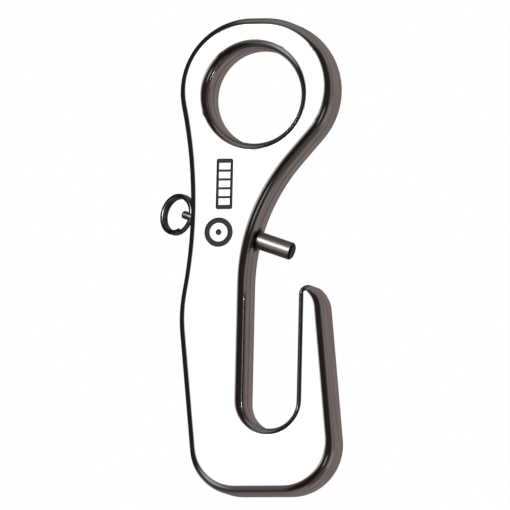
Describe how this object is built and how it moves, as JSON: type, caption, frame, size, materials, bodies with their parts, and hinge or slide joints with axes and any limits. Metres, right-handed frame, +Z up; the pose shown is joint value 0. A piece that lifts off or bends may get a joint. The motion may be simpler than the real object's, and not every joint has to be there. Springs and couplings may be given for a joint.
{
  "type": "eye hook with latch",
  "caption": "Flat forged chain hook with a lifting eye, a sprung cross pin that closes its throat, and a split ring that pulls the pin back.",
  "frame": {"origin": "centre of the eye bore, halfway through the plate", "axes": "+Z up the plate along the slot, the hook hangs below the eye; the front face looks towards -Y; the throat and the hook's tip are on the +X side; the eye bore runs along Y"},
  "size_m": [0.0452, 0.01, 0.1101],
  "materials": {
    "plate_steel": "polished forged stainless steel",
    "pin_steel": "fine-turned stainless steel",
    "spring_steel": "drawn spring wire",
    "ring_steel": "bright flattened wire"
  },
  "bodies": {
    "hook_body": {"hook_body": "plate_steel"},
    "latch_spring": {"latch_spring": "spring_steel"},
    "latch_pin": {"latch_pin": "pin_steel"},
    "pull_ring": {"pull_ring": "ring_steel"}
  },
  "joints": [
    {"name": "latch_travel", "type": "slide", "parent": "hook_body", "child": "latch_spring", "axis": [-0.9478, 0, 0.319], "range_m": [0, 0.007], "stiffness_N_per_m": 1080, "springref_m": -0.004, "deforming": ["latch_spring"]},
    {"name": "latch_spin", "type": "hinge", "parent": "latch_spring", "child": "latch_pin", "pos_m": [-0.01495, 0, -0.0278], "axis": [0.9478, 0, -0.319], "range_deg": [-60, 60]},
    {"name": "ring_swing", "type": "hinge", "parent": "latch_pin", "child": "pull_ring", "pos_m": [-0.01604, 0, -0.02743], "axis": [0.1994, 0, 0.9799], "range_deg": [-30, 90]}
  ]
}
